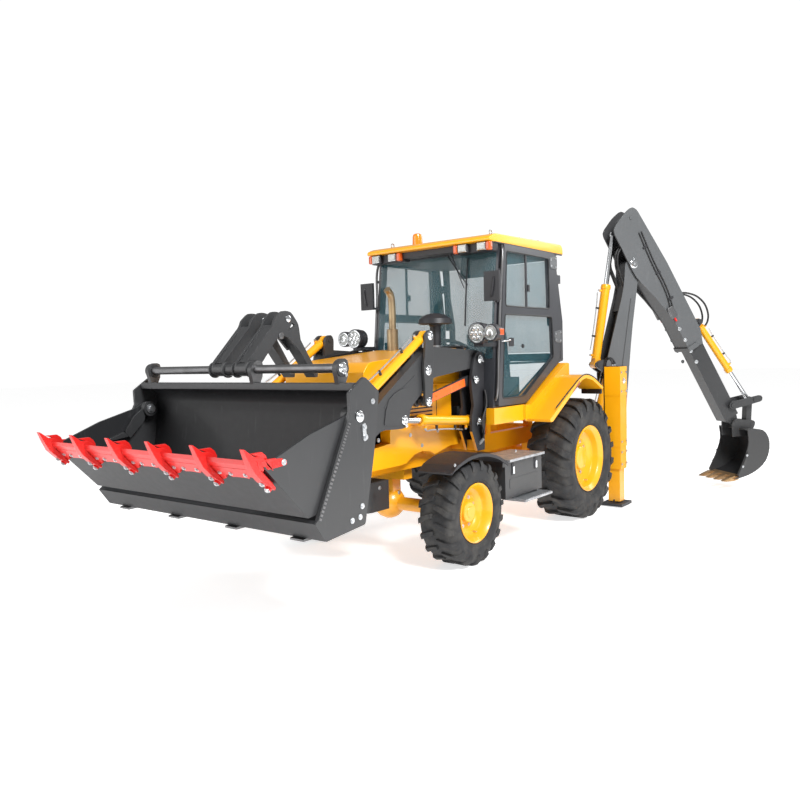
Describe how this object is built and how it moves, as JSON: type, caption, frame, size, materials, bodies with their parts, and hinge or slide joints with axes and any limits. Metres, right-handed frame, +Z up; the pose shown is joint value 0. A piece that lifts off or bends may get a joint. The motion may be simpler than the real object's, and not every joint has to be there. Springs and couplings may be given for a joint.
{
  "type": "backhoe loader",
  "caption": "Backhoe loader with a clamshell loader bucket with flip-over pallet forks, a glazed cab, drop-leg stabilisers and a side-shift, telescopic backhoe.",
  "frame": {"origin": "centre of the bounding box, on the ground under the tyres", "axes": "+X forward towards the loader bucket, +Y to the left of the driver, +Z up"},
  "size_m": [8.1076, 3.4856, 3.5595],
  "materials": {
    "yellow": "semi gloss",
    "charcoal": "semi gloss",
    "red": "semi gloss",
    "black": "satin",
    "chrome": "polished",
    "steel": "brushed",
    "tyre": "matte",
    "glass": "tinted",
    "fabric": "woven"
  },
  "bodies": {
    "frame": {"chassis": "yellow", "engine": "black", "front_axle": "yellow", "rear_axle": "yellow", "rear_frame": "yellow", "side_panels": "yellow", "tool_box": "charcoal", "fuel_tank": "charcoal", "cab_base": "yellow", "cab_frame": "charcoal", "windscreen": "glass", "rear_window": "glass", "cab_roof": "yellow", "seat": "fabric"},
    "steer_left": {"knuckle_left": "yellow"},
    "spin_front_left": {"front_wheel_left": "tyre"},
    "spin_rear_left": {"rear_wheel_left": "tyre"},
    "steer_right": {"knuckle_right": "yellow"},
    "spin_front_right": {"front_wheel_right": "tyre"},
    "spin_rear_right": {"rear_wheel_right": "tyre"},
    "stabiliser_left": {"stabiliser_leg_left": "yellow"},
    "stabiliser_right": {"stabiliser_leg_right": "yellow"},
    "hood": {"hood": "yellow"},
    "box_lid": {"box_lid": "steel"},
    "door_left": {"door_left": "charcoal", "door_glass_left": "glass"},
    "door_right": {"door_right": "charcoal", "door_glass_right": "glass"},
    "loader_arms": {"loader_arms": "charcoal"},
    "lever_left": {"lever_left": "charcoal"},
    "tilt_cylinder_left": {"tilt_barrel_left": "yellow"},
    "tilt_rod_left": {"tilt_rod_left": "chrome"},
    "lever_right": {"lever_right": "charcoal"},
    "tilt_cylinder_right": {"tilt_barrel_right": "yellow"},
    "tilt_rod_right": {"tilt_rod_right": "chrome"},
    "bucket_level": {"bucket_pivot_shaft": "steel"},
    "bucket": {"bucket_back": "charcoal"},
    "clam": {"clam": "charcoal", "cutting_edge": "red"},
    "forks": {"pallet_forks": "charcoal"},
    "tie_link_left": {"tie_link_left": "charcoal"},
    "lift_cylinder_left": {"lift_barrel_left": "yellow"},
    "lift_rod_left": {"lift_rod_left": "chrome"},
    "tie_link_right": {"tie_link_right": "charcoal"},
    "lift_cylinder_right": {"lift_barrel_right": "yellow"},
    "lift_rod_right": {"lift_rod_right": "chrome"},
    "side_shift": {"side_shift_carriage": "charcoal"},
    "slew": {"kingpost": "charcoal"},
    "boom": {"boom": "charcoal"},
    "dipper": {"dipper": "charcoal"},
    "extension": {"dipper_extension": "charcoal"},
    "bucket_cylinder": {"bucket_barrel": "yellow"},
    "bucket_rod": {"bucket_rod": "chrome"},
    "tipping_link": {"tipping_link": "charcoal"},
    "h_link": {"h_link": "charcoal"},
    "hoe_bucket": {"hoe_bucket": "charcoal"},
    "dipper_cylinder": {"dipper_barrel": "yellow"},
    "dipper_rod": {"dipper_rod": "chrome"},
    "boom_cylinder": {"boom_barrel": "yellow"},
    "boom_rod": {"boom_rod": "chrome"}
  },
  "joints": [
    {"name": "spin_front_left", "type": "hinge", "parent": "steer_left", "child": "spin_front_left", "pos_m": [1.39029, 0.35516, 0.456], "axis": [0, 1, 0], "continuous": true},
    {"name": "spin_rear_left", "type": "hinge", "parent": "frame", "child": "spin_rear_left", "pos_m": [-0.84971, 0.33016, 0.652], "axis": [0, 1, 0], "continuous": true},
    {"name": "spin_front_right", "type": "hinge", "parent": "steer_right", "child": "spin_front_right", "pos_m": [1.39029, -1.38484, 0.456], "axis": [0, 1, 0], "continuous": true},
    {"name": "spin_rear_right", "type": "hinge", "parent": "frame", "child": "spin_rear_right", "pos_m": [-0.84971, -1.35984, 0.652], "axis": [0, 1, 0], "continuous": true},
    {"name": "steer_left", "type": "hinge", "parent": "frame", "child": "steer_left", "pos_m": [1.39029, 0.24516, 0.456], "axis": [0, 0, 1], "range_deg": [-33, 33]},
    {"name": "steer_right", "type": "hinge", "parent": "frame", "child": "steer_right", "pos_m": [1.39029, -1.27484, 0.456], "axis": [0, 0, 1], "range_deg": [-34, 34]},
    {"name": "stabiliser_left", "type": "slide", "parent": "frame", "child": "stabiliser_left", "axis": [0, 0, -1], "range_m": [-0.33, 0.3]},
    {"name": "stabiliser_right", "type": "slide", "parent": "frame", "child": "stabiliser_right", "axis": [0, 0, -1], "range_m": [-0.33, 0.3]},
    {"name": "hood", "type": "hinge", "parent": "frame", "child": "hood", "pos_m": [0.65029, -0.51484, 1.88], "axis": [0, -1, 0], "range_deg": [0, 20]},
    {"name": "box_lid", "type": "hinge", "parent": "frame", "child": "box_lid", "pos_m": [0.51329, 0.13316, 0.8323], "axis": [1, 0, 0], "range_deg": [0, 45]},
    {"name": "door_left", "type": "hinge", "parent": "frame", "child": "door_left", "pos_m": [-0.77971, 0.24216, 0], "axis": [0, 0, 1], "range_deg": [0, 85]},
    {"name": "door_right", "type": "hinge", "parent": "frame", "child": "door_right", "pos_m": [-0.77971, -1.27184, 0], "axis": [0, 0, -1], "range_deg": [0, 85]},
    {"name": "loader_arms", "type": "hinge", "parent": "frame", "child": "loader_arms", "pos_m": [0.73229, -0.51484, 1.766], "axis": [0, -1, 0], "range_deg": [-10, 66]},
    {"name": "lever_left", "type": "hinge", "parent": "loader_arms", "child": "lever_left", "pos_m": [1.55529, -0.51484, 1.685], "axis": [0, -1, 0], "range_deg": [-49.89, 7.98]},
    {"name": "tie_link_left", "type": "hinge", "parent": "frame", "child": "tie_link_left", "pos_m": [0.80629, -0.51484, 1.574], "axis": [0, -1, 0], "range_deg": [-11.15, 70.77]},
    {"name": "lift_cylinder_left", "type": "hinge", "parent": "frame", "child": "lift_cylinder_left", "pos_m": [0.75829, -0.51484, 1.186], "axis": [0, -1, 0], "range_deg": [-8.88, 55.8]},
    {"name": "lift_rod_left", "type": "slide", "parent": "lift_cylinder_left", "child": "lift_rod_left", "axis": [0.9964, 0, 0.0842], "range_m": [-0.09203, 0.59617]},
    {"name": "tilt_cylinder_left", "type": "hinge", "parent": "lever_left", "child": "tilt_cylinder_left", "pos_m": [1.51829, -0.51484, 1.984], "axis": [0, -1, 0], "range_deg": [-8.32, 52.12]},
    {"name": "tilt_rod_left", "type": "slide", "parent": "tilt_cylinder_left", "child": "tilt_rod_left", "axis": [0.8545, 0, -0.5195], "range_m": [-0.02343, 0.64478]},
    {"name": "lever_right", "type": "hinge", "parent": "loader_arms", "child": "lever_right", "pos_m": [1.55529, -0.51484, 1.685], "axis": [0, -1, 0], "range_deg": [-49.89, 7.98]},
    {"name": "tie_link_right", "type": "hinge", "parent": "frame", "child": "tie_link_right", "pos_m": [0.80629, -0.51484, 1.574], "axis": [0, -1, 0], "range_deg": [-11.15, 70.77]},
    {"name": "lift_cylinder_right", "type": "hinge", "parent": "frame", "child": "lift_cylinder_right", "pos_m": [0.75829, -0.51484, 1.186], "axis": [0, -1, 0], "range_deg": [-8.88, 55.8]},
    {"name": "lift_rod_right", "type": "slide", "parent": "lift_cylinder_right", "child": "lift_rod_right", "axis": [0.9964, 0, 0.0842], "range_m": [-0.09203, 0.59617]},
    {"name": "tilt_cylinder_right", "type": "hinge", "parent": "lever_right", "child": "tilt_cylinder_right", "pos_m": [1.51829, -0.51484, 1.984], "axis": [0, -1, 0], "range_deg": [-8.32, 52.12]},
    {"name": "tilt_rod_right", "type": "slide", "parent": "tilt_cylinder_right", "child": "tilt_rod_right", "axis": [0.8545, 0, -0.5195], "range_m": [-0.02343, 0.64478]},
    {"name": "bucket_level", "type": "hinge", "parent": "loader_arms", "child": "bucket_level", "pos_m": [2.85029, -0.51484, 0.8], "axis": [0, -1, 0], "range_deg": [-36.45, 5.95]},
    {"name": "bucket", "type": "hinge", "parent": "bucket_level", "child": "bucket", "pos_m": [2.85029, -0.51484, 0.8], "axis": [0, 1, 0], "range_deg": [-3, 90]},
    {"name": "clam", "type": "hinge", "parent": "bucket", "child": "clam", "pos_m": [3.11029, -0.51484, 1.43], "axis": [0, -1, 0], "range_deg": [0, 75]},
    {"name": "forks", "type": "hinge", "parent": "bucket", "child": "forks", "pos_m": [3.10529, -0.51484, 1.747], "axis": [0, -1, 0], "range_deg": [-150, 0]},
    {"name": "side_shift", "type": "slide", "parent": "frame", "child": "side_shift", "axis": [0, -1, 0], "range_m": [0, 1.1]},
    {"name": "slew", "type": "hinge", "parent": "side_shift", "child": "slew", "pos_m": [-2.09971, 0.03516, 0], "axis": [0, 0, 1], "range_deg": [-48, 128]},
    {"name": "boom", "type": "hinge", "parent": "slew", "child": "boom", "pos_m": [-2.2759, 0.183, 0.56], "axis": [-0.6428, -0.766, 0], "range_deg": [-4, 112]},
    {"name": "boom_cylinder", "type": "hinge", "parent": "slew", "child": "boom_cylinder", "pos_m": [-2.12269, 0.05444, 0.835], "axis": [-0.6428, -0.766, 0], "range_deg": [-4.3, 106.91]},
    {"name": "boom_rod", "type": "slide", "parent": "boom_cylinder", "child": "boom_rod", "axis": [-0.199, 0.167, 0.9657], "range_m": [-0.02154, 0.549]},
    {"name": "dipper", "type": "hinge", "parent": "boom", "child": "dipper", "pos_m": [-2.48273, 0.35656, 2.87], "axis": [0.6428, 0.766, 0], "range_deg": [-8, 85]},
    {"name": "dipper_cylinder", "type": "hinge", "parent": "boom", "child": "dipper_cylinder", "pos_m": [-2.13035, 0.06087, 1.64], "axis": [0.6428, 0.766, 0], "range_deg": [-1.43, 10.37]},
    {"name": "dipper_rod", "type": "slide", "parent": "dipper_cylinder", "child": "dipper_rod", "axis": [-0.1218, 0.1022, 0.9873], "range_m": [-0.54573, 0.05317]},
    {"name": "extension", "type": "slide", "parent": "dipper", "child": "extension", "axis": [-0.3714, 0.3116, -0.8746], "range_m": [0, 0.85]},
    {"name": "hoe_bucket", "type": "hinge", "parent": "extension", "child": "hoe_bucket", "pos_m": [-3.59436, 1.28932, 0.85028], "axis": [0.6428, 0.766, 0], "range_deg": [-30, 75]},
    {"name": "tipping_link", "type": "hinge", "parent": "extension", "child": "tipping_link", "pos_m": [-3.53945, 1.24324, 1.06209], "axis": [0.6428, 0.766, 0], "range_deg": [-24.66, 60.91]},
    {"name": "h_link", "type": "hinge", "parent": "hoe_bucket", "child": "h_link", "pos_m": [-3.77066, 1.43726, 0.80636], "axis": [0.6428, 0.766, 0], "range_deg": [-58.56, 23.72]},
    {"name": "bucket_cylinder", "type": "hinge", "parent": "extension", "child": "bucket_cylinder", "pos_m": [-3.22291, 0.97763, 2.1479], "axis": [0.6428, 0.766, 0], "range_deg": [-2.03, 1.11]},
    {"name": "bucket_rod", "type": "slide", "parent": "bucket_cylinder", "child": "bucket_rod", "axis": [-0.4461, 0.3743, -0.8129], "range_m": [-0.32313, 0.13045]}
  ],
  "couplings": [
    {"joint": "steer_right", "follows": "steer_left", "ratio": 1},
    {"joint": "lever_left", "follows": "loader_arms", "ratio": -0.7483},
    {"joint": "tie_link_left", "follows": "loader_arms", "ratio": 1.0647},
    {"joint": "lift_cylinder_left", "follows": "loader_arms", "ratio": 0.83796},
    {"joint": "lift_rod_left", "follows": "loader_arms", "m_per_rad": 0.51581},
    {"joint": "tilt_cylinder_left", "follows": "loader_arms", "ratio": 0.78216},
    {"joint": "tilt_rod_left", "follows": "bucket", "m_per_rad": 0.40921},
    {"joint": "lever_right", "follows": "loader_arms", "ratio": -0.7483},
    {"joint": "tie_link_right", "follows": "loader_arms", "ratio": 1.0647},
    {"joint": "lift_cylinder_right", "follows": "loader_arms", "ratio": 0.83796},
    {"joint": "lift_rod_right", "follows": "loader_arms", "m_per_rad": 0.51581},
    {"joint": "tilt_cylinder_right", "follows": "loader_arms", "ratio": 0.78216},
    {"joint": "tilt_rod_right", "follows": "bucket", "m_per_rad": 0.40921},
    {"joint": "bucket_level", "follows": "loader_arms", "ratio": -0.54474},
    {"joint": "boom_cylinder", "follows": "boom", "ratio": 0.95012},
    {"joint": "boom_rod", "follows": "boom", "m_per_rad": 0.27983},
    {"joint": "dipper_cylinder", "follows": "dipper", "ratio": 0.11607},
    {"joint": "dipper_rod", "follows": "dipper", "m_per_rad": -0.36651},
    {"joint": "tipping_link", "follows": "hoe_bucket", "ratio": 0.80542},
    {"joint": "h_link", "follows": "hoe_bucket", "ratio": -0.77413},
    {"joint": "bucket_cylinder", "follows": "hoe_bucket", "ratio": -0.020398},
    {"joint": "bucket_rod", "follows": "hoe_bucket", "m_per_rad": -0.24533}
  ]
}
